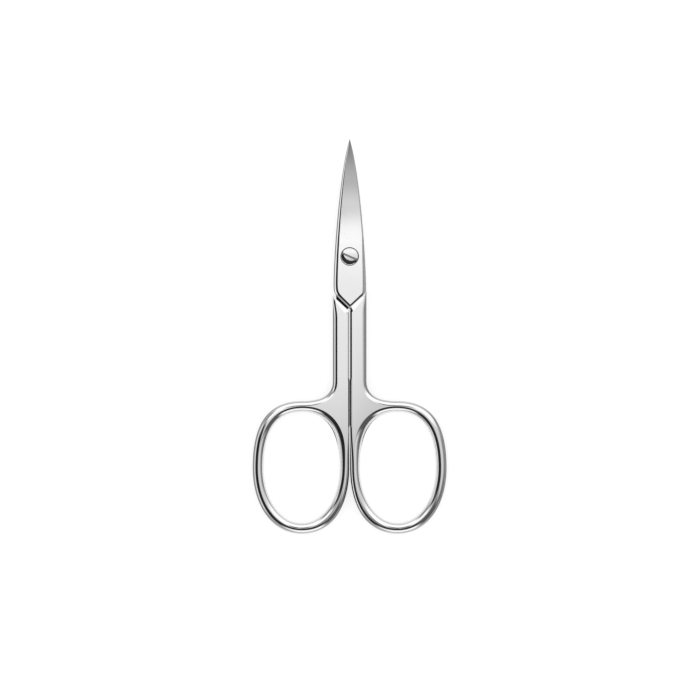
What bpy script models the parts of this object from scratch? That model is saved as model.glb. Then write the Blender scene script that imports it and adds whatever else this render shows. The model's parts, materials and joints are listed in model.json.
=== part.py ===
"""Nail scissors, lying flat and closed: two forged steel halves that turn on one slotted screw.

Metres, +Z up. The tips point along +Y and the screw's head faces up. The origin is the middle of the
overall length and width, on the surface that the scissors lie on. Each half has its own origin on the
screw's axis, halfway through the handle's thickness, so the rear half is the front one turned over.
"""

import math

import bmesh
import bpy
from mathutils import Vector
from mathutils.geometry import interpolate_bezier

# Lengths from the screw's centre to the tips and to the far end of the rings
BLADE_LENGTH = 0.0269
HANDLE_LENGTH = 0.0635

# Finger rings: the hole, the bar round it, and the bar on the side where the two rings meet
HOLE_WIDTH = 0.01744
HOLE_LENGTH = 0.02556
RING_BAR = 0.00248
RING_INNER_BAR = 0.00215
RINGS_GAP = 0.0003

# Shanks: inner sides stand close together, with a slightly wider gap in the hollow above the rings
HANDLE_THICKNESS = 0.0030
SHANK_WIDTH = 0.00373
SHANK_GAP = 0.00034
HOLLOW_GAP = 0.00076
HOLLOW_LENGTH = 0.0102
HOLLOW_STEP = 0.0005
FILLET_HEIGHT = 0.0047
OUTER_ROUND = 0.0010
INNER_ROUND = 0.00045
ROUND_GROWTH = 0.0030

# Joint: the shoulder's low point below the screw, the recess of the lap's face below the shank's face
LAP_LENGTH = 0.01225
LAP_ROOT = 0.0007
SHOULDER_GAP = 0.0003
FACE_RECESS = 0.00025
LAPS_GAP = 0.0003
LAP_EDGE_WIDTH = 0.00308
VEE_ROUND = 0.0005

# Blades: half the width at the heel and at the tip, the rounded back, the ground cutting edge
HEEL_HALF_WIDTH = 0.00384
TIP_HALF_WIDTH = 0.00008
TIP_THICKNESS = 0.00045
TAPER_START = 0.0030
BACK_ROUND = 0.00105
EDGE_BEVEL = 0.0003
EDGE_LIP = 0.0001
EDGE_SETBACK = 0.00004

# Screw and its seat
HEAD_RADIUS = 0.00216
HEAD_DOME = 0.0002
STEM_RADIUS = 0.0011
SEAT_DEPTH = 0.00055
SEAT_CLEARANCE = 0.00015
STEM_CLEARANCE = 0.0002
HEAD_LIFT = 0.0002
SLOT_WIDTH = 0.0003
SLOT_DEPTH = 0.0003
SLOT_ANGLE = math.radians(-21.8)

# Shares: a quarter curve's handle as a share of its side (0.5523 gives an ellipse), and slopes
RING_TOP_SHARE = 0.67
RING_FOOT_SHARE = 0.60
HOLE_TOP_SHARE = 0.63
HOLE_FOOT_SHARE = 0.575
FILLET_SHARE = 0.63
SHOULDER_SLOPE_SHARE = 0.84
HEEL_HANDLE_SHARE = 0.194
TIP_HANDLE_SHARE = 0.222
TIP_SPREAD_SHARE = 0.625
BACK_DROP_SHARE = 0.8
FADE_SHARE = 0.6

# Counts of steps
CURVE_STEPS = 12
ROUND_STEPS = 4
BLADE_STEPS = 22
ROOT_STEPS = 6
BACK_STEPS = 4
DOME_STEPS = 5
TURN_STEPS = 48

# Places along a half, from the screw's centre: x towards the half's own handle, y towards the tip
SHANK_INNER_X = SHANK_GAP / 2
SHANK_OUTER_X = SHANK_INNER_X + SHANK_WIDTH
HOLLOW_X = HOLLOW_GAP / 2
RING_INNER_X = RINGS_GAP / 2
HOLE_INNER_X = RING_INNER_X + RING_INNER_BAR
HOLE_OUTER_X = HOLE_INNER_X + HOLE_WIDTH
HOLE_CENTRE_X = HOLE_INNER_X + HOLE_WIDTH / 2
RING_OUTER_X = HOLE_OUTER_X + RING_BAR
RING_FOOT_Y = -HANDLE_LENGTH
HOLE_FOOT_Y = RING_FOOT_Y + RING_BAR
HOLE_TOP_Y = HOLE_FOOT_Y + HOLE_LENGTH
HOLE_CENTRE_Y = HOLE_FOOT_Y + HOLE_LENGTH / 2
RING_TOP_Y = HOLE_TOP_Y + RING_BAR
FILLET_TOP_Y = RING_TOP_Y + FILLET_HEIGHT
HOLLOW_FOOT_Y = FILLET_TOP_Y - HOLLOW_LENGTH
SHOULDER_LOW_Y = -LAP_LENGTH
SHOULDER_HIGH_Y = SHOULDER_LOW_Y + SHOULDER_SLOPE_SHARE * SHANK_WIDTH
HANDLE_FACE_Z = HANDLE_THICKNESS / 2
LAP_FACE_Z = HANDLE_FACE_Z - FACE_RECESS
LAP_INNER_Z = LAPS_GAP / 2
SEAT_Z = LAP_FACE_Z - SEAT_DEPTH

# How far a cutter runs past what it cuts, and how near points must be to be welded
OVERRUN = 0.0005
WELD = 0.000001

# Angles between faces: under the first they are one flat, over the others a rim or a sharp edge
FLAT_ANGLE = math.radians(1)
RIM_ANGLE = math.radians(45)
SHARP_ANGLE = math.radians(35)


def clear_scene():
    """Remove every object that the scene holds."""
    for thing in list(bpy.data.objects):
        bpy.data.objects.remove(thing, do_unlink=True)


def make_collection(name):
    """A new collection in the scene."""
    group = bpy.data.collections.new(name)
    bpy.context.scene.collection.children.link(group)
    return group


def make_steel(name, colour, roughness):
    """A plain metal material."""
    steel = bpy.data.materials.new(name)
    steel.use_nodes = True
    shader = steel.node_tree.nodes["Principled BSDF"]
    shader.inputs["Base Color"].default_value = colour
    shader.inputs["Metallic"].default_value = 1.0
    shader.inputs["Roughness"].default_value = roughness
    return steel


def knot(x, y, before=None, after=None):
    """A point of an outline, with its handles as offsets; no handle means a straight run on that side."""
    return Vector((x, y, 0)), before, after


def handle_outline():
    """The outer outline of a shank and its finger ring, from the shoulder's low point round to it again."""
    ring_half_width = RING_OUTER_X - HOLE_CENTRE_X
    inner_half_width = HOLE_CENTRE_X - RING_INNER_X
    ring_half_length = RING_TOP_Y - HOLE_CENTRE_Y
    fillet_width = HOLE_CENTRE_X - SHANK_OUTER_X
    return [
        knot(SHANK_INNER_X, SHOULDER_LOW_Y),
        knot(SHANK_OUTER_X, SHOULDER_HIGH_Y),
        knot(SHANK_OUTER_X, FILLET_TOP_Y, None, Vector((0, -FILLET_SHARE * FILLET_HEIGHT, 0))),
        knot(
            HOLE_CENTRE_X,
            RING_TOP_Y,
            Vector((-FILLET_SHARE * fillet_width, 0, 0)),
            Vector((RING_TOP_SHARE * ring_half_width, 0, 0)),
        ),
        knot(
            RING_OUTER_X,
            HOLE_CENTRE_Y,
            Vector((0, RING_TOP_SHARE * ring_half_length, 0)),
            Vector((0, -RING_FOOT_SHARE * ring_half_length, 0)),
        ),
        knot(
            HOLE_CENTRE_X,
            RING_FOOT_Y,
            Vector((RING_FOOT_SHARE * ring_half_width, 0, 0)),
            Vector((-RING_FOOT_SHARE * inner_half_width, 0, 0)),
        ),
        knot(RING_INNER_X, HOLE_CENTRE_Y, Vector((0, -RING_FOOT_SHARE * ring_half_length, 0)), None),
        knot(RING_INNER_X, HOLLOW_FOOT_Y - HOLLOW_STEP),
        knot(HOLLOW_X, HOLLOW_FOOT_Y),
        knot(HOLLOW_X, FILLET_TOP_Y),
        knot(SHANK_INNER_X, FILLET_TOP_Y + HOLLOW_STEP),
    ]


def hole_outline():
    """The finger hole: four quarter curves, a little fuller than an ellipse at the top."""
    side = HOLE_WIDTH / 2
    tall = HOLE_LENGTH / 2
    top_up = Vector((0, HOLE_TOP_SHARE * tall, 0))
    foot_up = Vector((0, HOLE_FOOT_SHARE * tall, 0))
    top_out = Vector((HOLE_TOP_SHARE * side, 0, 0))
    foot_out = Vector((HOLE_FOOT_SHARE * side, 0, 0))
    return [
        knot(HOLE_OUTER_X, HOLE_CENTRE_Y, -foot_up, top_up),
        knot(HOLE_CENTRE_X, HOLE_TOP_Y, top_out, -top_out),
        knot(HOLE_INNER_X, HOLE_CENTRE_Y, top_up, -foot_up),
        knot(HOLE_CENTRE_X, HOLE_FOOT_Y, -foot_out, foot_out),
    ]


def slab_from_outlines(name, outlines, thickness, group):
    """A flat slab with the given outlines, as a closed mesh object."""
    curve = bpy.data.curves.new(name + "_outline", "CURVE")
    curve.dimensions = "2D"
    curve.fill_mode = "BOTH"
    curve.extrude = thickness / 2
    for knots in outlines:
        spline = curve.splines.new("BEZIER")
        spline.bezier_points.add(len(knots) - 1)
        spline.use_cyclic_u = True
        spline.resolution_u = CURVE_STEPS
        for point, (place, before, after) in zip(spline.bezier_points, knots):
            point.co = place
            point.handle_left_type = "VECTOR" if before is None else "FREE"
            point.handle_right_type = "VECTOR" if after is None else "FREE"
            point.handle_left = place + (before or Vector())
            point.handle_right = place + (after or Vector())
    drawn = bpy.data.objects.new(name + "_outline", curve)
    group.objects.link(drawn)
    ready = drawn.evaluated_get(bpy.context.evaluated_depsgraph_get())
    mesh = bpy.data.meshes.new_from_object(ready)
    mesh.name = name
    place = drawn.matrix_world.copy()
    bpy.data.objects.remove(drawn, do_unlink=True)
    bpy.data.curves.remove(curve)
    welded = bmesh.new()
    welded.from_mesh(mesh)
    bmesh.ops.remove_doubles(welded, verts=welded.verts, dist=WELD)
    walls = {edge for face in welded.faces if abs(face.normal.z) < 0.5 for edge in face.edges}
    within_caps = [edge for edge in welded.edges if edge not in walls]
    bmesh.ops.dissolve_limit(welded, angle_limit=FLAT_ANGLE, verts=[], edges=within_caps)
    welded.to_mesh(mesh)
    welded.free()
    slab = bpy.data.objects.new(name, mesh)
    slab.matrix_world = place
    group.objects.link(slab)
    return slab


def rounding_at(x):
    """The rim's rounding: slight on the inner side, where the halves meet, and full on the outer side."""
    grown = min(max((x - HOLLOW_X) / ROUND_GROWTH, 0), 1)
    return INNER_ROUND + (OUTER_ROUND - INNER_ROUND) * grown


def round_rims(slab):
    """Round a slab's top and bottom rims with a Bevel that follows rounding_at."""
    mesh = slab.data
    shaped = bmesh.new()
    shaped.from_mesh(mesh)
    weight = shaped.edges.layers.float.new("bevel_weight_edge")
    for edge in shaped.edges:
        level = edge.verts[0].co.z * edge.verts[1].co.z > 0
        if level and edge.is_manifold and edge.calc_face_angle() > RIM_ANGLE:
            middle = (edge.verts[0].co.x + edge.verts[1].co.x) / 2
            edge[weight] = rounding_at(middle) / OUTER_ROUND
    shaped.to_mesh(mesh)
    shaped.free()
    bevel = slab.modifiers.new("rounded_rims", "BEVEL")
    bevel.limit_method = "WEIGHT"
    bevel.width = OUTER_ROUND
    bevel.segments = ROUND_STEPS
    bevel.use_clamp_overlap = False


def blade_sections():
    """The lap and blade from root to tip: (y, back, flat start, cutting side, thickness) for each section.

    Below the heel the back follows the other half's shoulder, at the shoulder's gap.
    """
    slant = math.hypot(1, SHOULDER_SLOPE_SHARE)
    vee_low_y = SHOULDER_LOW_Y + SHOULDER_GAP * slant
    vee_round_x = VEE_ROUND * slant / SHOULDER_SLOPE_SHARE
    corner_y = vee_low_y + SHOULDER_SLOPE_SHARE * (HEEL_HALF_WIDTH - SHANK_INNER_X)
    root_y = SHOULDER_LOW_Y - LAP_ROOT
    lap_thickness = LAP_FACE_Z - LAP_INNER_Z
    flat_x = BACK_ROUND - HEEL_HALF_WIDTH
    sections = []
    for step in range(ROOT_STEPS):
        y = root_y + (corner_y - root_y) * step / ROOT_STEPS
        back = -SHANK_INNER_X - (y - vee_low_y) / SHOULDER_SLOPE_SHARE
        sections.append((y, back, max(back + vee_round_x, flat_x), LAP_EDGE_WIDTH, lap_thickness))
    reach = BLADE_LENGTH - corner_y
    tip_spread = TIP_SPREAD_SHARE * HEEL_HALF_WIDTH
    edge = interpolate_bezier(
        Vector((HEEL_HALF_WIDTH, corner_y)),
        Vector((HEEL_HALF_WIDTH, corner_y + HEEL_HANDLE_SHARE * reach)),
        Vector((TIP_HALF_WIDTH + tip_spread, BLADE_LENGTH - TIP_HANDLE_SHARE * reach)),
        Vector((TIP_HALF_WIDTH, BLADE_LENGTH)),
        BLADE_STEPS,
    )
    for half_width, y in edge:
        along = max(y - TAPER_START, 0) / (BLADE_LENGTH - TAPER_START)
        thickness = lap_thickness - (lap_thickness - TIP_THICKNESS) * along**2
        rounding = BACK_ROUND * (half_width / HEEL_HALF_WIDTH) ** FADE_SHARE
        side = min(half_width - EDGE_SETBACK, LAP_EDGE_WIDTH)
        sections.append((y, -half_width, rounding - half_width, side, thickness))
    return sections


def section_points(y, back, flat_start, side, thickness):
    """One closed section of the lap or blade, from the inner face's back corner over the outer face."""
    top = LAP_INNER_Z + thickness
    drop = BACK_DROP_SHARE * thickness
    points = [Vector((back, y, LAP_INNER_Z))]
    for step in range(BACK_STEPS + 1):
        turn = math.pi / 2 * step / BACK_STEPS
        x = back + (flat_start - back) * (1 - math.cos(turn))
        points.append(Vector((x, y, top - drop * (1 - math.sin(turn)))))
    bevel = EDGE_BEVEL * ((side - back) / (HEEL_HALF_WIDTH + LAP_EDGE_WIDTH)) ** FADE_SHARE
    points.append(Vector((side - bevel, y, top)))
    points.append(Vector((side, y, LAP_INNER_Z + EDGE_LIP)))
    points.append(Vector((side, y, LAP_INNER_Z)))
    return points


def make_blade(name, group):
    """The lap and blade as a loft through its sections, which differ from root to tip."""
    shaped = bmesh.new()
    rings = [[shaped.verts.new(p) for p in section_points(*s)] for s in blade_sections()]
    for low, high in zip(rings, rings[1:]):
        for i in range(len(low)):
            j = (i + 1) % len(low)
            shaped.faces.new((low[i], high[i], high[j], low[j]))
    shaped.faces.new(rings[0])
    shaped.faces.new(reversed(rings[-1]))
    bmesh.ops.recalc_face_normals(shaped, faces=shaped.faces)
    mesh = bpy.data.meshes.new(name)
    shaped.to_mesh(mesh)
    shaped.free()
    blade = bpy.data.objects.new(name, mesh)
    group.objects.link(blade)
    return blade


def make_turned(name, profile, group):
    """A solid turned about Z from (radius, height) points that run down its outer side."""
    mesh = bpy.data.meshes.new(name)
    mesh.from_pydata([(r, 0, z) for r, z in profile], [(i, i + 1) for i in range(len(profile) - 1)], [])
    turned = bpy.data.objects.new(name, mesh)
    group.objects.link(turned)
    screw = turned.modifiers.new("turned", "SCREW")
    screw.angle = math.tau
    screw.steps = TURN_STEPS
    screw.render_steps = TURN_STEPS
    screw.use_merge_vertices = True
    screw.merge_threshold = WELD
    return turned


def boolean(target, operation, other):
    """Join another object to the target, or cut it away; the other one becomes a guide."""
    modifier = target.modifiers.new(other.name, "BOOLEAN")
    modifier.operation = operation
    modifier.solver = "EXACT"
    modifier.object = other
    other.hide_render = True
    other.display_type = "WIRE"


def place_on_screw_axis(thing, turned_over=False):
    """Put a piece that was drawn about the screw's axis in its place, turned over about Y if asked."""
    thing.location = (0, (HANDLE_LENGTH - BLADE_LENGTH) / 2, HANDLE_FACE_Z)
    thing.rotation_euler = (0, math.pi if turned_over else 0, 0)


def make_half(name, turned_over, bore_profile, parts, guides, steel):
    """One half: shank and ring with rounded rims, joined to its lap and blade, and bored for the screw."""
    half = slab_from_outlines(name, [handle_outline(), hole_outline()], HANDLE_THICKNESS, parts)
    round_rims(half)
    blade = make_blade(name + "_blade", guides)
    bore = make_turned(name + "_bore", bore_profile, guides)
    boolean(half, "UNION", blade)
    boolean(half, "DIFFERENCE", bore)
    for piece in (half, blade, bore):
        place_on_screw_axis(piece, turned_over)
    half.data.materials.append(steel)
    half.data.shade_smooth()
    half.data.set_sharp_from_angle(angle=SHARP_ANGLE)
    return half


def make_screw(parts, guides, steel):
    """The slotted screw: a low domed head on a stem that ends flush with the rear lap."""
    rim_z = LAP_FACE_Z
    profile = []
    for step in range(DOME_STEPS + 1):
        out = step / DOME_STEPS
        profile.append((HEAD_RADIUS * out, rim_z + HEAD_DOME * (1 - out**4)))
    profile += [
        (HEAD_RADIUS, SEAT_Z + HEAD_LIFT),
        (STEM_RADIUS, SEAT_Z + HEAD_LIFT),
        (STEM_RADIUS, -LAP_FACE_Z),
        (0, -LAP_FACE_Z),
    ]
    screw = make_turned("pivot_screw", profile, parts)
    slot_height = HEAD_DOME + SLOT_DEPTH + OVERRUN
    bpy.ops.mesh.primitive_cube_add(size=1)
    slot = bpy.context.object
    slot.name = "screw_slot"
    slot.data.transform(slot.matrix_world)
    for point in slot.data.vertices:
        point.co.x *= 2 * (HEAD_RADIUS + OVERRUN)
        point.co.y *= SLOT_WIDTH
        point.co.z = point.co.z * slot_height + rim_z - SLOT_DEPTH + slot_height / 2
    for group in slot.users_collection:
        group.objects.unlink(slot)
    guides.objects.link(slot)
    boolean(screw, "DIFFERENCE", slot)
    place_on_screw_axis(screw)
    place_on_screw_axis(slot)
    slot.rotation_euler.z = SLOT_ANGLE
    screw.data.materials.append(steel)
    screw.data.shade_smooth()
    return screw


def main():
    """Build the scissors."""
    clear_scene()
    parts = make_collection("nail_scissors")
    guides = make_collection("guides")
    steel = make_steel("polished_steel", (0.80, 0.80, 0.79, 1), 0.12)
    screw_steel = make_steel("screw_steel", (0.82, 0.82, 0.81, 1), 0.15)
    stem_hole = STEM_RADIUS + STEM_CLEARANCE
    seat_radius = HEAD_RADIUS + SEAT_CLEARANCE
    seat_profile = [
        (0, HANDLE_FACE_Z + OVERRUN),
        (seat_radius, HANDLE_FACE_Z + OVERRUN),
        (seat_radius, SEAT_Z),
        (stem_hole, SEAT_Z),
        (stem_hole, -OVERRUN),
        (0, -OVERRUN),
    ]
    thread_profile = [
        (0, HANDLE_FACE_Z + OVERRUN),
        (stem_hole, HANDLE_FACE_Z + OVERRUN),
        (stem_hole, -OVERRUN),
        (0, -OVERRUN),
    ]
    make_half("rear_half", True, thread_profile, parts, guides, steel)
    make_half("front_half", False, seat_profile, parts, guides, steel)
    make_screw(parts, guides, screw_steel)


main()
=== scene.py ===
"""Nail scissors on a pale floor: the looks of the two steel halves and the screw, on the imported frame.

Metres, +Z up, in the frame's own axes: the tips point along +Y and the screw's head faces up. Each half is
drawn with its own origin on the screw's axis, halfway through the handle's thickness, with its outer face
up; the rear half is then turned over.
"""

import json
import math
from collections import namedtuple

import bmesh
import bpy
from mathutils import Matrix, Vector
from mathutils.geometry import delaunay_2d_cdt, interpolate_bezier


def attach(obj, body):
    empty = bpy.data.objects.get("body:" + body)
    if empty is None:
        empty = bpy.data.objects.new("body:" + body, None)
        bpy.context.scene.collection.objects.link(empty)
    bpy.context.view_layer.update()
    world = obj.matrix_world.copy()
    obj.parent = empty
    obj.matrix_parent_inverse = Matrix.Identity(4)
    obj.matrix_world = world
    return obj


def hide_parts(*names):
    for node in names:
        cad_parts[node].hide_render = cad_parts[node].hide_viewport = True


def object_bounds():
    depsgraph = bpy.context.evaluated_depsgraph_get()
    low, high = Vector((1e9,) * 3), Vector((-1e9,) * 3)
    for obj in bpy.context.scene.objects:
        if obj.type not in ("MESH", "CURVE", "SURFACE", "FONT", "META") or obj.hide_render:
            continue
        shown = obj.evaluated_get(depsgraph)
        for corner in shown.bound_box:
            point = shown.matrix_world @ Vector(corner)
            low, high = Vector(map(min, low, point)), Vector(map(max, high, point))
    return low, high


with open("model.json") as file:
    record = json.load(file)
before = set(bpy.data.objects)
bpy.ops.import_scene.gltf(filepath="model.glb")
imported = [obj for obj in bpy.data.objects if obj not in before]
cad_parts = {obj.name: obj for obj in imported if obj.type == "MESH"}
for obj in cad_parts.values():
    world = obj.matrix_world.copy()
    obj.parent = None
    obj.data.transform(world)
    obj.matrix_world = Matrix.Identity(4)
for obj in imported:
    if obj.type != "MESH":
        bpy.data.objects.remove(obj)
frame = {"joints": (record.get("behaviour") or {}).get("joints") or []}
CAD_BOX = [list(corner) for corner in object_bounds()]
SCREW_AXIS = Vector(frame["joints"][0]["pos_m"])

# Lengths from the screw's centre to the tips and to the far end of the rings
BLADE_LENGTH = CAD_BOX[1][1] - SCREW_AXIS.y
HANDLE_LENGTH = SCREW_AXIS.y - CAD_BOX[0][1]

# Finger rings: the hole, the bar round it, and the bar on the side where the two rings meet
HOLE_WIDTH = 0.01744
HOLE_LENGTH = 0.02546
RING_BAR = 0.00248
RING_INNER_BAR = 0.00219
RINGS_GAP = 0.0002

# Shanks: their sides, the slit of the hollow above the rings, the curve into the ring and the blend
# from the shank's rounding to the shoulder's
HANDLE_THICKNESS = 2 * SCREW_AXIS.z
SHANK_OUTER_X = 0.00385
REAR_INNER_X = 0.00017
FRONT_INNER_X = 0.00009
HOLLOW_SLIT = 0.00005
HOLLOW_LENGTH = 0.0102
HOLLOW_STEP = 0.0005
FILLET_HEIGHT = 0.0047
SHOULDER_BLEND = 0.0052

# Roundings of the rims: how far they reach in from the outline, and how far down from the face
OUTER_ROUND = 0.00122, 0.00122
SHANK_ROUND = 0.00105, 0.00125
RING_TOP_ROUND = 0.00118, 0.00118
HOLE_ROUND = 0.00122, 0.00122
RING_INNER_ROUND = 0.0009, 0.0009
REAR_INNER_ROUND = 0.00034, 0.00034
FRONT_INNER_ROUND = 0.00046, 0.00012
REAR_HOLLOW_ROUND = 0.00036, 0.0014
FRONT_HOLLOW_ROUND = 0.0005, 0.0014
REAR_SHOULDER_ROUND = 0.0010, 0.00016
FRONT_SHOULDER_ROUND = 0.0012, 0.00015
REAR_TIP_ROUND = 0.0005, 0.0002
FRONT_TIP_ROUND = 0.00055, 0.0002

# The hole's rounding swells by this much round this direction from its middle, towards the crotch
HOLE_SWELL = 0.0006
SWELL_ANGLE = math.radians(132)
SWELL_POWER = 8

# Joint: from the screw to the shoulders' low points, the V where a lap meets the other half's shoulder,
# the recess of the laps' faces, and the crease along the shoulder's foot
REAR_LAP_LENGTH = 0.01246
FRONT_LAP_LENGTH = 0.0116
LAP_ROOT = 0.0007
FRONT_VEE_GAP = 0.00046
REAR_VEE_GAP = 0.0001
VEE_ROUND = 0.0008
VEE_BLEND = 0.0008
FRONT_CORNER_ROUND = 0.0008
REAR_CORNER_ROUND = 0.0001
FACE_RECESS = 0.00025
LAPS_GAP = 0.00006
LAP_EDGE_WIDTH = 0.00308
CREASE_WIDTH = 0.00042
CREASE_DEPTH = 0.00013

# Blades: half the width at the heel and at the tip, the rounded back and the ground cutting edge
HEEL_HALF_WIDTH = 0.00378
TIP_HALF_WIDTH = 0.00004
TIP_THICKNESS = 0.00038
TAPER_START = 0.0030
BACK_ROUND = 0.00096
EDGE_BEVEL = 0.0003
LAP_BEVEL = 0.00006
EDGE_LIP = 0.00006
EDGE_SETBACK = 0.00004

# Screw and its seat: the crown is a flat disc off the head's middle, with a slight arch along Y
HEAD_RADIUS = 0.00194
HEAD_CROWN = 0.00005
CROWN_RADIUS = 0.00185
CROWN_X = 0.00039
CROWN_Y = 0.00076
HEAD_ARCH = 0.000017
ARCH_Y = 0.0009
HEAD_RIM_ROUND = 0.00005
STEM_RADIUS = 0.0011
SEAT_DEPTH = 0.00055
SEAT_CLEARANCE = 0.00005
SEAT_CHAMFER_WIDTH = 0.00015
SEAT_CHAMFER_DEPTH = 0.00005
STEM_CLEARANCE = 0.00003
HEAD_LIFT = 0.00002
SLOT_WIDTH = 0.00026
SLOT_DEPTH = 0.0003
SLOT_CHAMFER = 0.00008
SLOT_ANGLE = math.radians(-24)

# Shares: a curve's handle as a share of its side (for a quarter curve 0.5523 gives an ellipse), and slopes
RING_TOP_SHARE = 0.67
RING_FOOT_SHARE = 0.585
RING_CROTCH_SHARE = 0.66
HOLE_TOP_SHARE = 0.655
HOLE_FOOT_SHARE = 0.565
FILLET_SHARE = 0.69
SHOULDER_SLOPE_SHARE = 0.94
HEEL_HANDLE_SHARE = 0.194
TIP_HANDLE_SHARE = 0.222
TIP_SPREAD_SHARE = 0.625
CROWN_SLOPE_SHARE = 0.1

# Shares of the back's rounding: how far it comes down the thickness, and its curve's handles at the face
# and at the side, along the blade and along the V; its width fades towards the tip by a power
BACK_DROP_SHARE = 0.8
BACK_START_SHARE = 0.4
BACK_END_SHARE = 0.36
VEE_DROP_SHARE = 0.35
VEE_START_SHARE = 0.5
VEE_END_SHARE = 0.9
FADE_SHARE = 0.6

# Places closer than this are one place
WELD = 0.000001

# Counts of steps
CURVE_STEPS = 48
ROUND_STEPS = 16
STRAIGHT_STEPS = 16
BLADE_STEPS = 96
ROOT_STEPS = 48
BACK_STEPS = 16
DOME_STEPS = 20
RIM_STEPS = 6
TURN_STEPS = 160

# Camera: its height over the screw's middle, and the width of the picture there; sensor in millimetres
CAMERA_HEIGHT = 1.5
FRAME_WIDTH = 0.1603
CAMERA_X = 0.00008
CAMERA_Y = -0.0031
SENSOR_WIDTH = 36

# Floor: its size, the tone of its paper, and the light it gives off so that it stays pale
FLOOR_SIZE = 6.0
FLOOR_PAPER = 0.4, 0.4, 0.4, 1
FLOOR_GLOW = 0.7, 0.7, 0.7, 1

# The studio as the steel mirrors it: fans round the lens, with direction and half-width in degrees,
# nearest and farthest slope (None runs on), and light; a later fan lies over an earlier one. A slope is
# the tilt, as a tangent, of the steel that mirrors that place straight up into the lens
FANS = (
    (0, 28, 0.02, None, 0.70),
    (0, 17, 0.42, None, 0.30),
    (24, 12, 0.75, None, 0.33),
    (90, 22, None, 0.16, 0.02),
    (141, 13, 0.40, 0.78, 0.20),
    (158, 9, 0.12, 0.44, 0.04),
    (202, 42, None, 0.6, 0.02),
    (236, 22, 0.60, None, 0.50),
    (268, 44, None, 0.36, 0.03),
    (344, 10, 0.35, 1.1, 0.20),
    (320, 18, None, 0.85, 0.10),
)

# Softness of a fan's sides, in degrees, and of its near and far rims, as a factor; the tent's own light;
# and the least height of a ray over straight down
FAN_EDGE = 8
RIM_EDGE = 1.25
TENT_LIGHT = 1.1
LOWEST_RAY = 0.05

# The soft box behind the lens: the slopes it spans, its shaded corner, and its light at slopes along Y
BOX_HALF_WIDTH = 0.011
BOX_NECK = 0.003
BOX_NECK_START = 0.003
BOX_NECK_END = 0.006
BOX_FOOT = -0.013
BOX_HEAD = 0.12
BOX_SOFT = 0.25
BOX_SHADE_START = -0.0005
BOX_SHADE_END = 0.002
BOX_SHADE_FOOT = -0.005
BOX_SHADE_HEAD = 0.004
BOX_SHADE_SHARE = 0.18
BOX_LIGHTS = (
    (-0.009, 0.64),
    (-0.001, 0.86),
    (0.004, 0.90),
    (0.0095, 1.08),
    (0.016, 1.06),
    (0.036, 0.74),
    (0.056, 0.50),
    (0.08, 0.28),
    (0.1, 0.12),
)

# Places along a half, from the screw's centre: x towards the half's own handle, y towards the tip
HOLLOW_X = HOLLOW_SLIT / 2
RING_INNER_X = RINGS_GAP / 2
HOLE_INNER_X = RING_INNER_X + RING_INNER_BAR
HOLE_OUTER_X = HOLE_INNER_X + HOLE_WIDTH
HOLE_CENTRE_X = HOLE_INNER_X + HOLE_WIDTH / 2
RING_OUTER_X = HOLE_OUTER_X + RING_BAR
RING_FOOT_Y = -HANDLE_LENGTH
HOLE_FOOT_Y = RING_FOOT_Y + RING_BAR
HOLE_TOP_Y = HOLE_FOOT_Y + HOLE_LENGTH
HOLE_CENTRE_Y = HOLE_FOOT_Y + HOLE_LENGTH / 2
RING_TOP_Y = HOLE_TOP_Y + RING_BAR
FILLET_TOP_Y = RING_TOP_Y + FILLET_HEIGHT
HOLLOW_FOOT_Y = FILLET_TOP_Y - HOLLOW_LENGTH
HANDLE_FACE_Z = HANDLE_THICKNESS / 2
LAP_FACE_Z = HANDLE_FACE_Z - FACE_RECESS
LAP_INNER_Z = LAPS_GAP / 2
SEAT_Z = LAP_FACE_Z - SEAT_DEPTH
SEAT_REACH = HEAD_RADIUS + SEAT_CLEARANCE + SEAT_CHAMFER_WIDTH + WELD

# How far a cutter runs past what it cuts
OVERRUN = 0.0005

# A straight run longer than this gets points where its rounding changes, this far clear of its corners
LONG_RUN = 0.0009
CLEAR_RUN = 0.0001

# Faces that meet at more than this angle have a crisp edge; faces whose normal rises more than this
# share are level
SHARP_ANGLE = math.radians(24)
LEVEL_SHARE = 0.99999

# Steel's tones: polished faces; walls, dark as painted shade; walls that face along Y and the holes' own
# walls, lighter as painted light; the laps' inner faces; the screw's slot, darker partly as painted shade;
# and the painted shade of the crevices
POLISH_TONES = 0.885, 0.92
WALL_SHADE_TONES = 0.15, 0.22
END_WALL_LIGHT = 0.65
HOLE_WALL_LIGHT = 0.75
LAP_TONES = 0.62, 0.78
SLOT_DULL_AND_SHADE_TONES = 0.5, 0.62
CREVICE_SHADE_TONE = 0.02

# Steel's roughness: the polish of the halves and of the screw, ground faces, and what haze and grain add
HALVES_ROUGHNESS = 0.02
SCREW_ROUGHNESS = 0.03
GROUND_ROUGHNESS = 0.26
HAZE_ROUGHNESS = 0.012

# Haze and polishing lines: scales per metre, the span of the noise that counts, and the lines' depth
HAZE_SCALE = 220
HAZE_DETAIL = 4
GRAIN_SCALES = 3400, 150, 3400
GRAIN_DETAIL = 2
NOISE_SPAN = 0.3, 0.7
LINE_DEPTH = 0.00000012

# Where a face counts as a wall and as one that faces along Y, as shares of its normal
WALL_SHARE = 0.60
WALL_TOP_SHARE = 0.78
END_START_SHARE = 0.45

# Where a hole's own wall, with its painted light, ends, from the hole's middle, and how far an inner face
# lies from the middle plane
HOLE_WALL_START = 0.0096
HOLE_WALL_END = 0.0101
INNER_FACE_REACH = 0.0001

# Painted shade in the crevices: its width and fade from the shoulder's foot, the share of the crease left
# unshaded at its top, and how much there is in the crease and in the screw's seat
CREVICE_SHADE_WIDTH = 0.0006
CREVICE_SHADE_FADE = 0.0009
CREASE_UNSHADED_SHARE = 0.06
CREASE_SHADE_SHARE = 0.55
SEAT_SHADE_SHARE = 0.85


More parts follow.
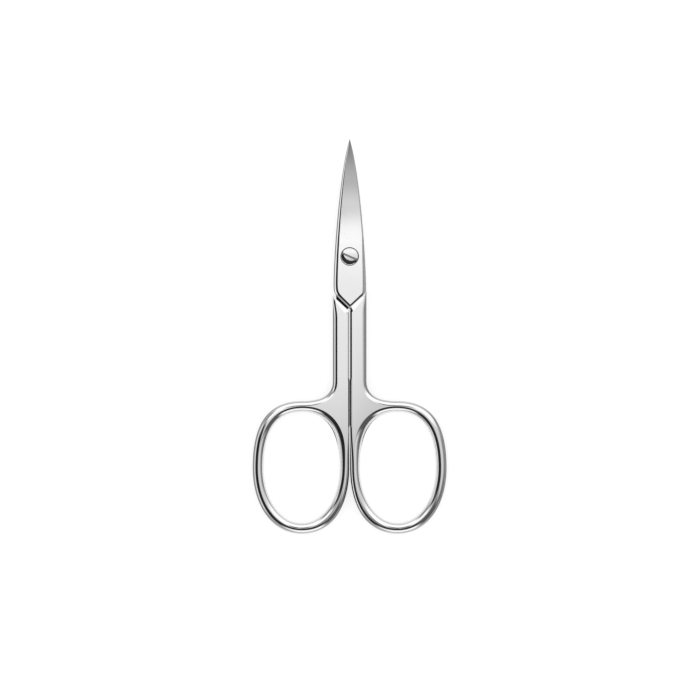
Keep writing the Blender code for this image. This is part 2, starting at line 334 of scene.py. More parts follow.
Half = namedtuple(
    "Half",
    "inner_x lap_length other_lap_length vee_gap corner_round"
    " inner_round hollow_round shoulder_round tip_round",
)
FRONT = Half(
    inner_x=FRONT_INNER_X,
    lap_length=FRONT_LAP_LENGTH,
    other_lap_length=REAR_LAP_LENGTH,
    vee_gap=FRONT_VEE_GAP,
    corner_round=FRONT_CORNER_ROUND,
    inner_round=FRONT_INNER_ROUND,
    hollow_round=FRONT_HOLLOW_ROUND,
    shoulder_round=FRONT_SHOULDER_ROUND,
    tip_round=FRONT_TIP_ROUND,
)
REAR = Half(
    inner_x=REAR_INNER_X,
    lap_length=REAR_LAP_LENGTH,
    other_lap_length=FRONT_LAP_LENGTH,
    vee_gap=REAR_VEE_GAP,
    corner_round=REAR_CORNER_ROUND,
    inner_round=REAR_INNER_ROUND,
    hollow_round=REAR_HOLLOW_ROUND,
    shoulder_round=REAR_SHOULDER_ROUND,
    tip_round=REAR_TIP_ROUND,
)


def knot(x, y, rounding, before=None, after=None, rounding_after=None):
    """A point of an outline, with its rim's rounding before and after it, and its handles as offsets.

    No handle means a straight run.
    """
    return Vector((x, y)), Vector(rounding), before, after, Vector(rounding_after or rounding)


def handle_outline(half):
    """The outer outline of a shank and its finger ring, from the shoulder's low point round clockwise."""
    ring_half_width = RING_OUTER_X - HOLE_CENTRE_X
    inner_half_width = HOLE_CENTRE_X - RING_INNER_X
    ring_half_length = RING_TOP_Y - HOLE_CENTRE_Y
    fillet_width = HOLE_CENTRE_X - SHANK_OUTER_X
    low = Vector((half.inner_x, -half.lap_length))
    high = low + (SHANK_OUTER_X - half.inner_x) * Vector((1, SHOULDER_SLOPE_SHARE))
    return [
        knot(*low, half.inner_round, None, None, half.shoulder_round),
        knot(*high, half.tip_round),
        knot(SHANK_OUTER_X, high.y - SHOULDER_BLEND, SHANK_ROUND),
        knot(SHANK_OUTER_X, FILLET_TOP_Y, SHANK_ROUND, None, Vector((0, -FILLET_SHARE * FILLET_HEIGHT))),
        knot(
            HOLE_CENTRE_X,
            RING_TOP_Y,
            RING_TOP_ROUND,
            Vector((-FILLET_SHARE * fillet_width, 0)),
            Vector((RING_TOP_SHARE * ring_half_width, 0)),
        ),
        knot(
            RING_OUTER_X,
            HOLE_CENTRE_Y,
            OUTER_ROUND,
            Vector((0, RING_TOP_SHARE * ring_half_length)),
            Vector((0, -RING_FOOT_SHARE * ring_half_length)),
        ),
        knot(
            HOLE_CENTRE_X,
            RING_FOOT_Y,
            OUTER_ROUND,
            Vector((RING_FOOT_SHARE * ring_half_width, 0)),
            Vector((-RING_FOOT_SHARE * inner_half_width, 0)),
        ),
        knot(
            RING_INNER_X,
            HOLE_CENTRE_Y,
            RING_INNER_ROUND,
            Vector((0, -RING_CROTCH_SHARE * ring_half_length)),
        ),
        knot(RING_INNER_X, HOLLOW_FOOT_Y - HOLLOW_STEP, half.inner_round),
        knot(HOLLOW_X, HOLLOW_FOOT_Y, half.hollow_round),
        knot(HOLLOW_X, FILLET_TOP_Y, half.hollow_round),
        knot(half.inner_x, FILLET_TOP_Y + HOLLOW_STEP, half.inner_round),
    ]


def hole_outline():
    """The finger hole, counter-clockwise: four quarter curves, a little fuller than an ellipse at the top."""
    side = HOLE_WIDTH / 2
    tall = HOLE_LENGTH / 2
    top_up = Vector((0, HOLE_TOP_SHARE * tall))
    foot_up = Vector((0, HOLE_FOOT_SHARE * tall))
    top_out = Vector((HOLE_TOP_SHARE * side, 0))
    foot_out = Vector((HOLE_FOOT_SHARE * side, 0))
    return [
        knot(HOLE_OUTER_X, HOLE_CENTRE_Y, HOLE_ROUND, -foot_up, top_up),
        knot(HOLE_CENTRE_X, HOLE_TOP_Y, HOLE_ROUND, top_out, -top_out),
        knot(HOLE_INNER_X, HOLE_CENTRE_Y, HOLE_ROUND, top_up, -foot_up),
        knot(HOLE_CENTRE_X, HOLE_FOOT_Y, HOLE_ROUND, -foot_out, foot_out),
    ]


def traced(knots, swell=0):
    """The points of an outline, each with its rim's inward step, which keeps corners true, and its depth.

    The swell widens a hole's rounding on the side towards the crotch, where its face is broad.
    """
    points = []
    for here, following in zip(knots, knots[1:] + knots[:1]):
        if here[3] is None and following[2] is None:
            run = [here[0]]
        else:
            first = here[0] + (here[3] or Vector((0, 0)))
            last = following[0] + (following[2] or Vector((0, 0)))
            run = interpolate_bezier(here[0], first, last, following[0], CURVE_STEPS)[:-1]
        for i, place in enumerate(run):
            share = i / len(run)
            out = place.xy - Vector((HOLE_CENTRE_X, HOLE_CENTRE_Y))
            towards = max(math.cos(math.atan2(out.y, out.x) - SWELL_ANGLE), 0) ** SWELL_POWER
            widened = Vector((swell, swell)) * towards
            rounding = here[4].lerp(following[1], share) + widened
            points.append((place.xy, rounding if i else here[1] + widened, rounding))
    points = divided(points)
    return [(points[i][0], *inward_reach(points, i)) for i in range(len(points))]


def sides(points, i):
    """The unit steps to the right of an outline before and after one of its points."""
    before = (points[i][0] - points[i - 1][0]).normalized()
    after = (points[(i + 1) % len(points)][0] - points[i][0]).normalized()
    return Vector((before.y, -before.x)), Vector((after.y, -after.x))


def inward_reach(points, i):
    """How far a point's rim reaches in, as a mitred step, and how far it comes down."""
    before, after = sides(points, i)
    wide_before, wide_after = points[i][1].x, points[i][2].x
    depth = min(points[i][1].y, points[i][2].y)
    turn = before.cross(after)
    if abs(wide_before - wide_after) < WELD:
        return (before + after) / (1 + before.dot(after)) * wide_before, depth
    x = wide_before * after.y - wide_after * before.y
    y = wide_after * before.x - wide_before * after.x
    return Vector((x, y)) / turn, depth


def divided(points):
    """The outline with points added on long straight runs whose rounding changes, clear of the mitres."""
    full = []
    for i, (place, before, after) in enumerate(points):
        full.append((place, before, after))
        j = (i + 1) % len(points)
        end, rounding = points[j][0], points[j][1]
        length = (end - place).length
        ahead = (end - place).normalized()
        start = max(inward_reach(points, i)[0].dot(ahead), 0) + CLEAR_RUN
        spare = length - start + min(inward_reach(points, j)[0].dot(ahead), 0) - CLEAR_RUN
        if length > LONG_RUN and spare > 0 and after != rounding:
            for step in range(1, STRAIGHT_STEPS):
                share = (start + spare * step / STRAIGHT_STEPS) / length
                eased = after.lerp(rounding, (1 - math.cos(math.pi * share)) / 2)
                full.append((place.lerp(end, share), eased, eased))
    return full


def link(thing):
    """Put an object in the scene."""
    bpy.context.scene.collection.objects.link(thing)
    return thing


def rounded_slab(name, outlines, thickness):
    """A slab with rounded rims; its material lies on the right-hand side of each outline's way round."""
    shaped = bmesh.new()
    rims = {1: [], -1: []}
    for steps in outlines:
        rings = {}
        for up in rims:
            rings[up] = []
            for step in range(ROUND_STEPS + 1):
                turn = math.pi / 2 * step / ROUND_STEPS
                ring = []
                for place, reach, depth in steps:
                    at = place + reach * (1 - math.cos(turn))
                    height = thickness / 2 - depth * (1 - math.sin(turn))
                    ring.append(shaped.verts.new((at.x, at.y, up * height)))
                rings[up].append(ring)
            rims[up].append(rings[up][-1])
        skin(shaped, rings[-1][::-1] + rings[1])
    for outer, hole in rims.values():
        cap(shaped, outer, hole)
    return built(name, shaped)


def skin(shaped, rings):
    """Add the faces between each closed ring of corners and the next one."""
    for low, high in zip(rings, rings[1:]):
        for i in range(len(low)):
            j = (i + 1) % len(low)
            shaped.faces.new((low[i], high[i], high[j], low[j]))


def cap(shaped, outer, hole):
    """Add the flat faces between an outer ring of corners and the ring of the hole in it."""
    corners = outer + hole
    number = {corner: i for i, corner in enumerate(corners)}
    edges = [(number[a], number[b]) for ring in (outer, hole) for a, b in zip(ring, ring[1:] + ring[:1])]
    places, _, triangles, sources, _, _ = delaunay_2d_cdt(
        [corner.co.xy for corner in corners], edges, [], 0, 0, True
    )
    outer_loop = [corner.co.xy for corner in outer]
    hole_loop = [corner.co.xy for corner in hole]
    for triangle in triangles:
        middle = sum((places[i] for i in triangle), Vector((0, 0))) / len(triangle)
        if inside(middle, outer_loop) and not inside(middle, hole_loop):
            shaped.faces.new([corners[sources[i][0]] for i in triangle])


def built(name, shaped):
    """The object of a finished shape, with all its faces turned outwards."""
    bmesh.ops.recalc_face_normals(shaped, faces=shaped.faces)
    mesh = bpy.data.meshes.new(name)
    shaped.to_mesh(mesh)
    shaped.free()
    return link(bpy.data.objects.new(name, mesh))


def inside(point, loop):
    """Whether a point lies inside a closed loop of points."""
    crossings = 0
    for a, b in zip(loop, loop[1:] + loop[:1]):
        if (a.y > point.y) != (b.y > point.y):
            crossings += point.x < a.x + (b.x - a.x) * (point.y - a.y) / (b.y - a.y)
    return crossings % 2 == 1


def smooth_max(a, b, rounding):
    """The larger of two lengths, rounded where they change over."""
    return (a + b + math.hypot(a - b, rounding)) / 2


def blade_sections(half):
    """The lap and blade from root to tip: (y, back, flat start, cutting side, thickness, drop, shares) each.

    Below the heel the back follows the other half's shoulder at a gap. Along this V its rounding is wider
    and shallower.
    """
    slant = math.hypot(1, SHOULDER_SLOPE_SHARE)
    vee_low_y = half.vee_gap * slant - half.other_lap_length
    vee_round_x = VEE_ROUND * slant / SHOULDER_SLOPE_SHARE
    corner_y = vee_low_y + SHOULDER_SLOPE_SHARE * (HEEL_HALF_WIDTH - REAR_INNER_X)
    root_y = -half.lap_length - LAP_ROOT
    lap_thickness = LAP_FACE_Z - LAP_INNER_Z
    reach = BLADE_LENGTH - corner_y
    tip_spread = TIP_SPREAD_SHARE * HEEL_HALF_WIDTH
    root_heights = [root_y + (corner_y - root_y) * i / ROOT_STEPS for i in range(ROOT_STEPS)]
    edge = [Vector((HEEL_HALF_WIDTH, y)) for y in root_heights]
    edge += interpolate_bezier(
        Vector((HEEL_HALF_WIDTH, corner_y)),
        Vector((HEEL_HALF_WIDTH, corner_y + HEEL_HANDLE_SHARE * reach)),
        Vector((TIP_HALF_WIDTH + tip_spread, BLADE_LENGTH - TIP_HANDLE_SHARE * reach)),
        Vector((TIP_HALF_WIDTH, BLADE_LENGTH)),
        BLADE_STEPS,
    )
    sections = []
    for half_width, y in (place.xy for place in edge):
        along = max(y - TAPER_START, 0) / (BLADE_LENGTH - TAPER_START)
        thickness = lap_thickness - (lap_thickness - TIP_THICKNESS) * along**2
        rounding = BACK_ROUND * (half_width / HEEL_HALF_WIDTH) ** FADE_SHARE
        side = min(half_width - EDGE_SETBACK * half_width / HEEL_HALF_WIDTH, LAP_EDGE_WIDTH)
        back, flat_start = -half_width, rounding - half_width
        if y < 0:
            vee = -REAR_INNER_X - (y - vee_low_y) / SHOULDER_SLOPE_SHARE
            back = smooth_max(vee, back, half.corner_round)
            flat_start = max(smooth_max(vee + vee_round_x, flat_start, half.corner_round), back + LAP_BEVEL)
        veering = min((back + half_width) / VEE_BLEND, 1)
        drop_share = BACK_DROP_SHARE + (VEE_DROP_SHARE - BACK_DROP_SHARE) * veering
        drop = drop_share * thickness * min((flat_start - back) / rounding, 1) ** 2
        shares = (
            BACK_START_SHARE + (VEE_START_SHARE - BACK_START_SHARE) * veering,
            BACK_END_SHARE + (VEE_END_SHARE - BACK_END_SHARE) * veering,
        )
        sections.append((y, back, flat_start, side, thickness, drop, shares))
    return sections


def section_points(y, back, flat_start, side, thickness, drop, shares):
    """One closed section of the lap or blade, from the inner face's back corner round over the outer face."""
    top = LAP_INNER_Z + thickness
    reach = flat_start - back
    profile = interpolate_bezier(
        Vector((back, top - drop)),
        Vector((back, top - drop * shares[1])),
        Vector((flat_start - reach * shares[0], top)),
        Vector((flat_start, top)),
        BACK_STEPS,
    )
    points = [Vector((back, y, LAP_INNER_Z))] + [Vector((x, y, z)) for x, z in profile]
    covered = min(max((-back - LAP_EDGE_WIDTH) / (HEEL_HALF_WIDTH - LAP_EDGE_WIDTH), 0), 1)
    bevel = EDGE_BEVEL * ((side - back) / (HEEL_HALF_WIDTH + LAP_EDGE_WIDTH)) ** FADE_SHARE
    bevel += (LAP_BEVEL - bevel) * covered
    points.append(Vector((side - bevel, y, top)))
    points.append(Vector((side, y, LAP_INNER_Z + EDGE_LIP)))
    points.append(Vector((side, y, LAP_INNER_Z)))
    return points


def make_blade(name, half):
    """The lap and blade as a loft through its sections, which differ from root to tip."""
    shaped = bmesh.new()
    rings = [[shaped.verts.new(p) for p in section_points(*section)] for section in blade_sections(half)]
    skin(shaped, rings)
    shaped.faces.new(rings[0])
    shaped.faces.new(reversed(rings[-1]))
    return built(name, shaped)


def make_turned(name, profile):
    """A solid turned about Z from (radius, height) points that run down its outer side."""
    mesh = bpy.data.meshes.new(name)
    mesh.from_pydata([(r, 0, z) for r, z in profile], [(i, i + 1) for i in range(len(profile) - 1)], [])
    turned = link(bpy.data.objects.new(name, mesh))
    screw = turned.modifiers.new("turned", "SCREW")
    screw.angle = math.tau
    screw.steps = TURN_STEPS
    screw.render_steps = TURN_STEPS
    screw.use_merge_vertices = True
    screw.merge_threshold = WELD
    return turned


def boolean(target, operation, other):
    """Join another object to the target, or cut it away."""
    modifier = target.modifiers.new(other.name, "BOOLEAN")
    modifier.operation = operation
    modifier.solver = "EXACT"
    modifier.object = other


def set_true_normals(mesh):
    """Smooth the faces between crisp edges by area, but keep level faces level right up to their rims."""
    shaped = bmesh.new()
    shaped.from_mesh(mesh)
    number = {}
    for face in shaped.faces:
        for corner in face.loops:
            number[corner] = len(number)
    normals = [None] * len(number)
    for place in shaped.verts:
        corners = {corner.face: corner for corner in place.link_loops}
        while corners:
            fan = [corners.popitem()[1]]
            for corner in fan:
                for edge in (corner.edge, corner.link_loop_prev.edge):
                    if edge.smooth:
                        fan += [corners.pop(face) for face in edge.link_faces if face in corners]
            faces = [corner.face for corner in fan]
            level = [face for face in faces if abs(face.normal.z) > LEVEL_SHARE]
            total = Vector((0, 0, 0))
            for face in level or faces:
                total += face.normal * face.calc_area()
            for corner in fan:
                normals[number[corner]] = total.normalized()
    shaped.free()
    mesh.normals_split_custom_set(normals)


def finished(name, drawn, helpers, turned_over=False):
    """The evaluated mesh of a drawn piece, in its place in the frame, smooth with crisp edges."""
    ready = drawn.evaluated_get(bpy.context.evaluated_depsgraph_get())
    mesh = bpy.data.meshes.new_from_object(ready)
    mesh.name = name
    for thing in [drawn, *helpers]:
        bpy.data.objects.remove(thing, do_unlink=True)
    turn = Matrix.Rotation(math.pi, 4, "Y") if turned_over else Matrix.Identity(4)
    mesh.transform(Matrix.Translation(SCREW_AXIS) @ turn)
    mesh.materials.clear()
    mesh.shade_smooth()
    mesh.set_sharp_from_angle(angle=SHARP_ANGLE)
    set_true_normals(mesh)
    return link(bpy.data.objects.new(name, mesh))


def make_half(name, half, turned_over, bore_profile):
    """One half: shank and ring with rounded rims, joined to its lap and blade, and bored for the screw."""
    outlines = [traced(handle_outline(half)), traced(hole_outline(), HOLE_SWELL)]
    drawn = rounded_slab(name + "_drawn", outlines, HANDLE_THICKNESS)
    blade = make_blade(name + "_blade", half)
    bore = make_turned(name + "_bore", bore_profile)
    crease = make_crease(name + "_crease", half)
    boolean(drawn, "UNION", blade)
    boolean(drawn, "DIFFERENCE", bore)
    boolean(drawn, "DIFFERENCE", crease)
    return finished(name, drawn, [blade, bore, crease], turned_over)


def make_crease(name, half):
    """What the crease along the shoulder's foot takes away from the lap's face."""
    start = Vector((half.inner_x, -half.lap_length))
    along = (SHANK_OUTER_X - half.inner_x) * Vector((1, SHOULDER_SLOPE_SHARE))
    across = Vector((-along.y, along.x)).normalized()
    section = [
        (0, LAP_FACE_Z - CREASE_DEPTH),
        (CREASE_WIDTH, LAP_FACE_Z),
        (CREASE_WIDTH, LAP_FACE_Z + FACE_RECESS),
        (0, LAP_FACE_Z + FACE_RECESS),
    ]
    return make_prism(name, section, start, start + along, across)


def make_prism(name, section, start, end, across):
    """A bar of a given section, (out, height) points, between two places on the plan."""
    shaped = bmesh.new()
    ends = []
    for place in (start, end):
        spots = [(place + across * out, height) for out, height in section]
        ends.append([shaped.verts.new((spot.x, spot.y, height)) for spot, height in spots])
    skin(shaped, ends)
    shaped.faces.new(ends[0])
    shaped.faces.new(reversed(ends[1]))
    return built(name, shaped)


def seat_profile():
    """The front lap's bore: a chamfered seat for the screw's head, and the stem's hole."""
    seat = HEAD_RADIUS + SEAT_CLEARANCE
    stem = STEM_RADIUS + STEM_CLEARANCE
    return [
        (0, HANDLE_FACE_Z + OVERRUN),
        (seat + SEAT_CHAMFER_WIDTH, HANDLE_FACE_Z + OVERRUN),
        (seat + SEAT_CHAMFER_WIDTH, LAP_FACE_Z),
        (seat, LAP_FACE_Z - SEAT_CHAMFER_DEPTH),
        (seat, SEAT_Z),
        (stem, SEAT_Z),
        (stem, -OVERRUN),
        (0, -OVERRUN),
    ]


def thread_profile():
    """The rear lap's hole for the stem."""
    stem = STEM_RADIUS + STEM_CLEARANCE
    return [(0, HANDLE_FACE_Z + OVERRUN), (stem, HANDLE_FACE_Z + OVERRUN), (stem, -OVERRUN), (0, -OVERRUN)]


def make_screw(name):
    """The slotted screw: a low domed head on a stem that ends flush with the rear lap."""
    flat_radius = HEAD_RADIUS - HEAD_RIM_ROUND
    profile = [(flat_radius * step / DOME_STEPS, LAP_FACE_Z) for step in range(DOME_STEPS + 1)]
    for step in range(1, RIM_STEPS + 1):
        turn = math.pi / 2 * step / RIM_STEPS
        out = flat_radius + HEAD_RIM_ROUND * math.sin(turn)
        profile.append((out, LAP_FACE_Z - HEAD_RIM_ROUND * (1 - math.cos(turn))))
    profile += [
        (HEAD_RADIUS, SEAT_Z + HEAD_LIFT),
        (STEM_RADIUS, SEAT_Z + HEAD_LIFT),
        (STEM_RADIUS, -LAP_FACE_Z),
        (0, -LAP_FACE_Z),
    ]
    drawn = make_turned(name + "_drawn", profile)
    slot = make_slot(name + "_slot")
    boolean(drawn, "DIFFERENCE", slot)
    screw = finished(name, drawn, [slot])
    for corner in screw.data.vertices:
        place = corner.co - SCREW_AXIS
        if place.z > LAP_FACE_Z - WELD:
            beyond = max(math.hypot(place.x - CROWN_X, place.y - CROWN_Y) - CROWN_RADIUS, 0)
            arch = HEAD_ARCH * ((place.y - ARCH_Y) / HEAD_RADIUS) ** 2
            corner.co.z += HEAD_CROWN - CROWN_SLOPE_SHARE * beyond - arch
    set_true_normals(screw.data)
    return screw


def make_slot(name):
    """What the screw's slot takes away: a straight cut with chamfered lips."""
    reach = HEAD_RADIUS + OVERRUN
    half = SLOT_WIDTH / 2
    lip = half + SLOT_CHAMFER
    section = [
        (-half, LAP_FACE_Z - SLOT_DEPTH),
        (half, LAP_FACE_Z - SLOT_DEPTH),
        (half, LAP_FACE_Z - SLOT_CHAMFER),
        (lip, LAP_FACE_Z),
        (lip, LAP_FACE_Z + OVERRUN),
        (-lip, LAP_FACE_Z + OVERRUN),
        (-lip, LAP_FACE_Z),
        (-half, LAP_FACE_Z - SLOT_CHAMFER),
    ]
    along = Vector((math.cos(SLOT_ANGLE), math.sin(SLOT_ANGLE))) * reach
    across = Vector((-along.y, along.x)).normalized()
    return make_prism(name, section, -along, along, across)


class Graph:
    """Short calls for building a node tree."""

    def __init__(self, tree):
        self.tree = tree
        tree.nodes.clear()

    def node(self, kind, **settings):
        made = self.tree.nodes.new(kind)
        for key, value in settings.items():
            setattr(made, key, value)
        return made

    def put(self, value, socket):
        """Link a socket, or set a plain value."""
        if isinstance(value, bpy.types.NodeSocket):
            self.tree.links.new(value, socket)
        else:
            socket.default_value = value

    def math(self, operation, *values):
        made = self.node("ShaderNodeMath", operation=operation)
        for value, socket in zip(values, made.inputs):
            self.put(value, socket)
        return made.outputs[0]

    def noise(self, place, scale, detail):
        made = self.node("ShaderNodeTexNoise", noise_dimensions="3D")
        self.put(place, made.inputs["Vector"])
        made.inputs["Scale"].default_value = scale
        made.inputs["Detail"].default_value = detail
        return made.outputs["Fac"]

    def scaled(self, place, scales):
        made = self.node("ShaderNodeVectorMath", operation="MULTIPLY")
        self.put(place, made.inputs[0])
        made.inputs[1].default_value = scales
        return made.outputs[0]

    def tint(self, share, first, second):
        """The first colour where the share is 0, the second where it is 1; a plain number means a grey."""
        made = self.node("ShaderNodeMix", data_type="RGBA")
        self.put(share, made.inputs[0])
        for part, socket in zip((first, second), made.inputs[6:8]):
            self.put((part, part, part, 1) if isinstance(part, float) else part, socket)
        return made.outputs[2]

    def ramp(self, value, low, high, start=0.0, end=1.0):
        """A smooth step from start to end as the value goes from low to high."""
        made = self.node("ShaderNodeMapRange", interpolation_type="SMOOTHSTEP")
        for part, socket in zip((value, low, high, start, end), made.inputs):
            self.put(part, socket)
        return made.outputs[0]

    def mix(self, share, first, second):
        """The first number where the share is 0, the second where it is 1."""
        made = self.node("ShaderNodeMix", data_type="FLOAT")
        for part, socket in zip((share, first, second), made.inputs[:1] + made.inputs[2:4]):
            self.put(part, socket)
        return made.outputs[0]


def crevice_shade_share(graph, x, y, z, up):
    """How much painted shade darkens a place, as the shade of the crevices.

    It lies along the foot of a half's own shoulder, on the inner face and in the crease, and in the seat.
    """
    foot = graph.math("MULTIPLY", graph.math("GREATER_THAN", x, 0.0), REAR_LAP_LENGTH - FRONT_LAP_LENGTH)
    foot = graph.math("ADD", foot, SCREW_AXIS.y - REAR_LAP_LENGTH)
    line = graph.math("MULTIPLY", graph.math("ABSOLUTE", x), SHOULDER_SLOPE_SHARE)
    rise = graph.math("SUBTRACT", graph.math("SUBTRACT", y, foot), line)
    beside = graph.ramp(rise, CREVICE_SHADE_WIDTH, CREVICE_SHADE_WIDTH + CREVICE_SHADE_FADE, 1.0, 0.0)
    out = graph.math("ABSOLUTE", graph.math("SUBTRACT", z, SCREW_AXIS.z))
    own = graph.math("LESS_THAN", graph.math("MULTIPLY", x, up), 0.0)
    inner = graph.math("MULTIPLY", own, graph.math("LESS_THAN", out, INNER_FACE_REACH))
    deep = graph.math("GREATER_THAN", out, LAP_FACE_Z - CREASE_DEPTH - WELD)
    low = graph.math("LESS_THAN", out, LAP_FACE_Z - CREASE_DEPTH * CREASE_UNSHADED_SHARE)
    crease = graph.math("MULTIPLY", graph.math("MULTIPLY", deep, low), CREASE_SHADE_SHARE)
    shoulder = graph.math("MULTIPLY", beside, graph.math("MAXIMUM", inner, crease))
    from_axis = graph.math("SUBTRACT", y, SCREW_AXIS.y)
    from_axis = graph.math("ADD", graph.math("MULTIPLY", x, x), graph.math("MULTIPLY", from_axis, from_axis))
    near = graph.math("LESS_THAN", from_axis, SEAT_REACH**2)
    seat = graph.math("MULTIPLY", graph.math("MULTIPLY", near, low), SEAT_SHADE_SHARE)
    return graph.math("MAXIMUM", shoulder, seat)


def hole_wall_light_share(graph, x, y):
    """How much painted light a place of the plan takes as a finger hole's own wall: 1 inside its bar's
    middle, then 0.
    """
    aside = graph.math("SUBTRACT", graph.math("ABSOLUTE", x), HOLE_CENTRE_X)
    along = graph.math("SUBTRACT", y, SCREW_AXIS.y + HOLE_CENTRE_Y)
    along = graph.math("MULTIPLY", along, HOLE_WIDTH / HOLE_LENGTH)
    reach = graph.math("ADD", graph.math("MULTIPLY", aside, aside), graph.math("MULTIPLY", along, along))
    reach = graph.math("SQRT", reach)
    return graph.ramp(reach, HOLE_WALL_START, HOLE_WALL_END, 1.0, 0.0)


def polished_steel(name, roughness, dull_low, dull_high, dull_and_shade_tones, crevice_shaded):
    """Mirror-polished steel with fine polishing lines and soft haze.

    Walls, and whatever lies between the two heights, are left duller, as ground, and darker: the walls' dark
    tone is painted shade, lifted as painted light on walls that face along Y and on the finger holes' walls,
    and the slot's darker tone is partly painted shade.
    """
    steel = bpy.data.materials.new(name)
    steel.use_nodes = True
    graph = Graph(steel.node_tree)
    shader = graph.node("ShaderNodeBsdfPrincipled")
    out = graph.node("ShaderNodeOutputMaterial")
    graph.put(shader.outputs[0], out.inputs["Surface"])
    shader.inputs["Metallic"].default_value = 1.0
    where = graph.node("ShaderNodeTexCoord")
    place = where.outputs["Object"]
    haze = graph.noise(place, HAZE_SCALE, HAZE_DETAIL)
    grain = graph.noise(graph.scaled(place, GRAIN_SCALES), 1.0, GRAIN_DETAIL)
    facing = graph.node("ShaderNodeSeparateXYZ")
    graph.put(where.outputs["Normal"], facing.inputs[0])
    height = graph.node("ShaderNodeSeparateXYZ")
    graph.put(place, height.inputs[0])
    wall = graph.ramp(graph.math("ABSOLUTE", facing.outputs[2]), WALL_SHARE, WALL_TOP_SHARE, 1.0, 0.0)
    above = graph.math("GREATER_THAN", height.outputs[2], dull_low)
    below = graph.math("LESS_THAN", height.outputs[2], dull_high)
    level = graph.math("MULTIPLY", above, below)
    dull = graph.math("MAXIMUM", wall, level)
    faces = graph.tint(level, graph.tint(haze, *POLISH_TONES), graph.tint(grain, *dull_and_shade_tones))
    # Painted shade: the crevices along the shoulder's foot and round the screw's seat are darkened in the
    # colour
    if crevice_shaded:
        faces = graph.tint(crevice_shade_share(graph, *height.outputs, facing.outputs[2]), faces, CREVICE_SHADE_TONE)
    # Painted shade darkens the walls; painted light lifts the walls that face along Y and the finger holes'
    # own walls
    endways = graph.ramp(graph.math("ABSOLUTE", facing.outputs[1]), END_START_SHARE, 1.0)
    walls = graph.tint(endways, graph.tint(grain, *WALL_SHADE_TONES), END_WALL_LIGHT)
    walls = graph.tint(hole_wall_light_share(graph, *height.outputs[:2]), walls, HOLE_WALL_LIGHT)
    graph.put(graph.tint(wall, faces, walls), shader.inputs["Base Color"])
    hazy = graph.ramp(haze, *NOISE_SPAN, roughness, roughness + HAZE_ROUGHNESS)
    rough = graph.ramp(grain, *NOISE_SPAN, GROUND_ROUGHNESS, GROUND_ROUGHNESS + HAZE_ROUGHNESS)
    graph.put(graph.mix(dull, hazy, rough), shader.inputs["Roughness"])
    lines = graph.node("ShaderNodeBump")
    lines.inputs["Distance"].default_value = LINE_DEPTH
    graph.put(grain, lines.inputs["Height"])
    graph.put(lines.outputs[0], shader.inputs["Normal"])
    return steel


def make_floor():
    """A pale floor that keeps the scissors' soft shadow."""
    mesh = bpy.data.meshes.new("floor")
    shaped = bmesh.new()
    bmesh.ops.create_grid(shaped, x_segments=1, y_segments=1, size=FLOOR_SIZE / 2)
    shaped.to_mesh(mesh)
    shaped.free()
    floor = link(bpy.data.objects.new("floor", mesh))
    paper = bpy.data.materials.new("floor_paper")
    paper.use_nodes = True
    graph = Graph(paper.node_tree)
    rays = graph.node("ShaderNodeLightPath")
    seen = graph.math("MAXIMUM", rays.outputs["Is Camera Ray"], rays.outputs["Is Glossy Ray"])
    seen = graph.math("MAXIMUM", seen, rays.outputs["Is Transmission Ray"])
    shade = graph.node("ShaderNodeBsdfDiffuse")
    shade.inputs["Color"].default_value = FLOOR_PAPER
    glow = graph.node("ShaderNodeEmission")
    glow.inputs["Color"].default_value = FLOOR_GLOW
    graph.put(seen, glow.inputs["Strength"])
    both = graph.node("ShaderNodeAddShader")
    graph.put(shade.outputs[0], both.inputs[0])
    graph.put(glow.outputs[0], both.inputs[1])
    out = graph.node("ShaderNodeOutputMaterial")
    graph.put(both.outputs[0], out.inputs["Surface"])
    mesh.materials.append(paper)


def fan_share(graph, angle, slope, direction, half_width, nearest, farthest):
    """How much of a fan-shaped card is seen: 1 inside it, fading over its soft edges to 0."""
    turned = graph.math("WRAP", graph.math("SUBTRACT", angle, math.radians(direction)), math.pi, -math.pi)
    aside = graph.math("ABSOLUTE", turned)
    half = math.radians(half_width)
    edge = math.radians(FAN_EDGE)
    share = graph.ramp(aside, half - edge, half + edge, 1.0, 0.0)
    if nearest:
        past = graph.ramp(slope, nearest / RIM_EDGE, nearest * RIM_EDGE)
        share = graph.math("MULTIPLY", share, past)
    if farthest:
        short = graph.ramp(slope, farthest / RIM_EDGE, farthest * RIM_EDGE, 1.0, 0.0)
        share = graph.math("MULTIPLY", share, short)
    return share


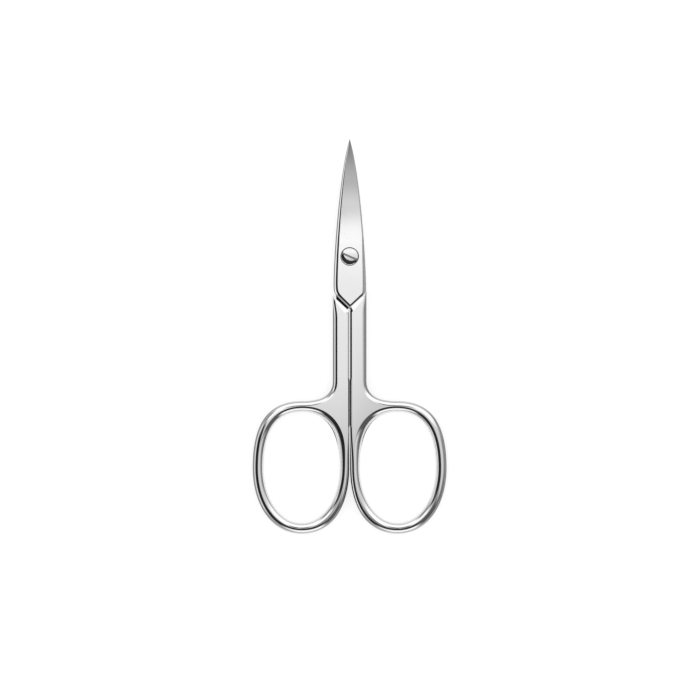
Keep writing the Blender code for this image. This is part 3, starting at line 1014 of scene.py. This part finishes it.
def make_studio():
    """A white tent with fan-shaped cards round the lens, which the steel mirrors as dark and grey lines.

    Only mirrored rays see the cards and the soft box; the rest of the light is even. A ray's slope is the
    tilt, as a tangent, of the steel that mirrors the ray straight up.
    """
    world = bpy.data.worlds.new("studio")
    bpy.context.scene.world = world
    world.use_nodes = True
    graph = Graph(world.node_tree)
    split = graph.node("ShaderNodeSeparateXYZ")
    graph.put(graph.node("ShaderNodeTexCoord").outputs["Generated"], split.inputs[0])
    x, y, z = split.outputs
    below = graph.math("MAXIMUM", graph.math("ADD", z, 1.0), LOWEST_RAY)
    slope_x = graph.math("DIVIDE", x, below)
    slope_y = graph.math("DIVIDE", y, below)
    squares = [graph.math("POWER", part, 2.0) for part in (slope_x, slope_y)]
    slope = graph.math("SQRT", graph.math("ADD", *squares))
    angle = graph.math("ARCTAN2", slope_y, slope_x)
    mirrored = TENT_LIGHT
    for direction, half_width, nearest, farthest, light in FANS:
        share = fan_share(graph, angle, slope, direction, half_width, nearest, farthest)
        mirrored = graph.mix(share, mirrored, light)
    box_light = BOX_LIGHTS[0][1]
    for (low, start), (high, end) in zip(BOX_LIGHTS, BOX_LIGHTS[1:]):
        box_light = graph.math("ADD", box_light, graph.ramp(slope_y, low, high, 0.0, end - start))
    shade = graph.ramp(slope_x, BOX_SHADE_START, BOX_SHADE_END, 0.0, BOX_SHADE_SHARE)
    shade = graph.math("MULTIPLY", shade, graph.ramp(slope_y, BOX_SHADE_FOOT, BOX_SHADE_HEAD, 1.0, 0.0))
    box_light = graph.math("MULTIPLY", box_light, graph.math("SUBTRACT", 1.0, shade))
    aside = graph.math("ABSOLUTE", slope_x)
    half_width = graph.ramp(slope_y, BOX_NECK_START, BOX_NECK_END, BOX_HALF_WIDTH, BOX_NECK)
    box = graph.ramp(graph.math("DIVIDE", aside, half_width), 1 - BOX_SOFT, 1 + BOX_SOFT, 1.0, 0.0)
    above_foot = graph.ramp(slope_y, BOX_FOOT * (1 + BOX_SOFT), BOX_FOOT * (1 - BOX_SOFT))
    below_head = graph.ramp(slope_y, BOX_HEAD * (1 - BOX_SOFT), BOX_HEAD, 1.0, 0.0)
    box = graph.math("MULTIPLY", graph.math("MULTIPLY", box, above_foot), below_head)
    mirrored = graph.mix(box, mirrored, box_light)
    rays = graph.node("ShaderNodeLightPath")
    strength = graph.mix(rays.outputs["Is Glossy Ray"], 1.0, mirrored)
    background = graph.node("ShaderNodeBackground")
    background.inputs["Color"].default_value = (1, 1, 1, 1)
    graph.put(strength, background.inputs["Strength"])
    out = graph.node("ShaderNodeOutputWorld")
    graph.put(background.outputs[0], out.inputs["Surface"])


def make_camera():
    """A long lens straight above the scissors, with the photograph's framing."""
    lens = bpy.data.cameras.new("camera")
    lens.sensor_width = SENSOR_WIDTH
    lens.lens = SENSOR_WIDTH * CAMERA_HEIGHT / FRAME_WIDTH
    camera = link(bpy.data.objects.new("camera", lens))
    camera.location = (CAMERA_X, CAMERA_Y, CAMERA_HEIGHT + SCREW_AXIS.z)
    bpy.context.scene.camera = camera


def main():
    """Dress the scissors and set the studio."""
    middle = SCREW_AXIS.z
    inner_heights = middle - INNER_FACE_REACH, middle + INNER_FACE_REACH
    halves_steel = polished_steel("polished_steel", HALVES_ROUGHNESS, *inner_heights, LAP_TONES, crevice_shaded=True)
    # The slot's floor is rougher, and its darker tone is partly painted shade
    slot_top = middle + LAP_FACE_Z - SLOT_CHAMFER
    slot_heights = slot_top - SLOT_DEPTH, slot_top
    screw_steel = polished_steel("screw_steel", SCREW_ROUGHNESS, *slot_heights, SLOT_DULL_AND_SHADE_TONES, crevice_shaded=False)
    front = make_half("front_half_steel", FRONT, False, seat_profile())
    rear = make_half("rear_half_steel", REAR, True, thread_profile())
    screw = make_screw("pivot_screw_steel")
    dressed = (
        (front, "front", "front_half", "polished_steel", halves_steel),
        (rear, "rear", "rear_half", "polished_steel", halves_steel),
        (screw, "rear", "pivot_screw", "screw_steel", screw_steel),
    )
    for piece, body, node, slot, steel in dressed:
        piece.data.materials.append(steel)
        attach(piece, body)
        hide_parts(node)
    make_floor()
    make_studio()
    make_camera()
    bpy.context.scene.view_settings.view_transform = "Standard"


main()
